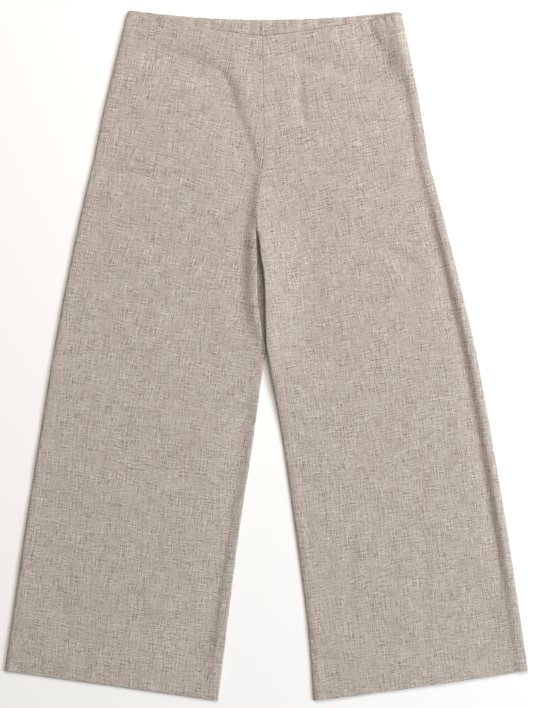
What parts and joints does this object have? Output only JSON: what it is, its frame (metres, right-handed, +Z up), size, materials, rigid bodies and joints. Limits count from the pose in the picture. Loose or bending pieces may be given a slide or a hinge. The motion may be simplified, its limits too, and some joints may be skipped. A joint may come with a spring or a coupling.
{
  "type": "culottes",
  "caption": "Wide cropped linen trousers laid flat, front up, with flared legs, turned-up hems and a cased back waist.",
  "frame": {"origin": "middle of the garment's outline as it lies, on the surface that it lies on", "axes": "+X towards the wearer's left, +Y from the hems to the waist, +Z up from the surface, out of the front"},
  "size_m": [0.717, 0.945, 0.008],
  "materials": {
    "linen_outside": "matte slubbed linen weave, greige melange",
    "linen_inside": "matte slubbed linen weave, wrong side"
  },
  "bodies": {
    "root": {"front_leg_right": "linen_outside", "front_leg_left": "linen_outside", "back_leg_right": "linen_outside", "back_leg_left": "linen_outside", "back_waist_casing_right": "linen_inside", "back_waist_casing_left": "linen_inside", "front_hem_right": "linen_outside", "front_hem_left": "linen_outside", "back_hem_right": "linen_outside", "back_hem_left": "linen_outside"}
  },
  "joints": []
}
